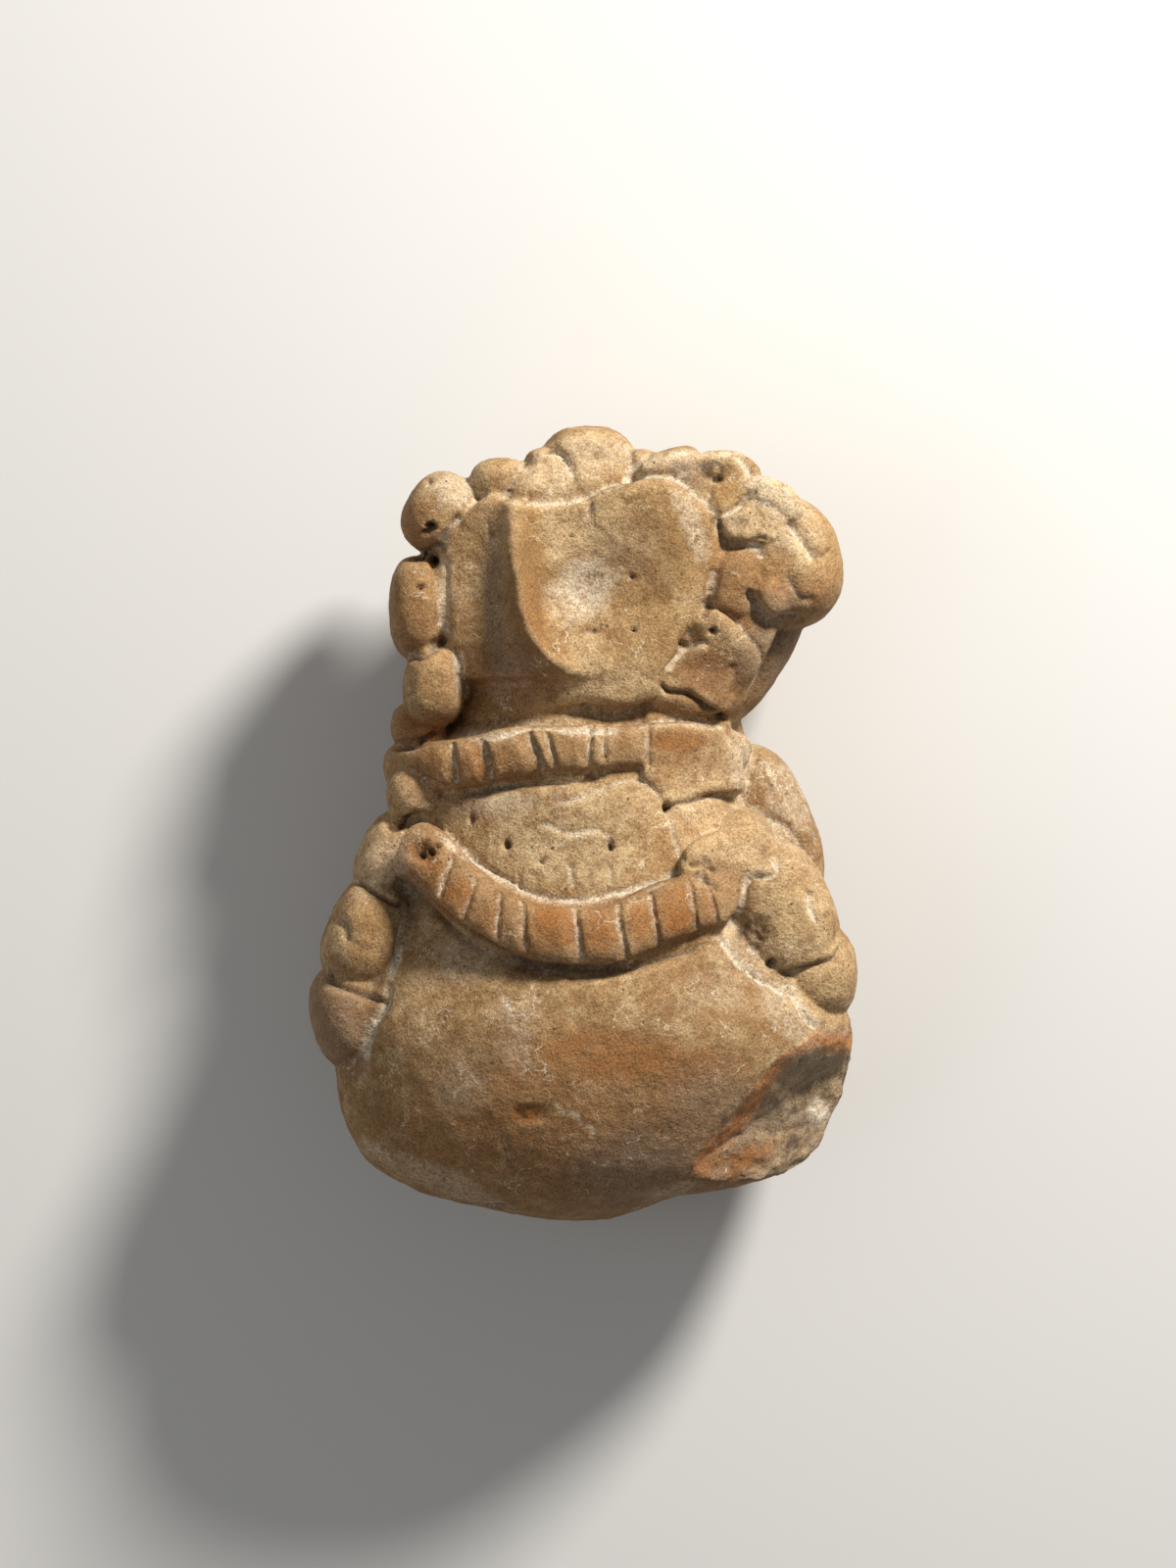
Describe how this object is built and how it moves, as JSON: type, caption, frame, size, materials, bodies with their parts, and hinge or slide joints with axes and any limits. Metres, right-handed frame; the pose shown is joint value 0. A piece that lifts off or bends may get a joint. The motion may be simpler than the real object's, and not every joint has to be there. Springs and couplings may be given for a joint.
{
  "type": "clay bust figurine fragment",
  "caption": "Small hand-modelled terracotta bust fragment with a pinched face ridge, pellet hair and two notched bands, lying on its back.",
  "frame": {"origin": "middle of the bounding box, at the bottom, where the back rests", "axes": "+Y from the rounded lower edge to the top of the hair, +Z out of the back through the face, +X to the right as one looks at the face with the head up"},
  "size_m": [0.0558, 0.081, 0.0366],
  "materials": {
    "fired_clay": "matt, sandy, unglazed, with pale deposits in the hollows"
  },
  "bodies": {
    "root": {"bust": "fired_clay"}
  },
  "joints": []
}
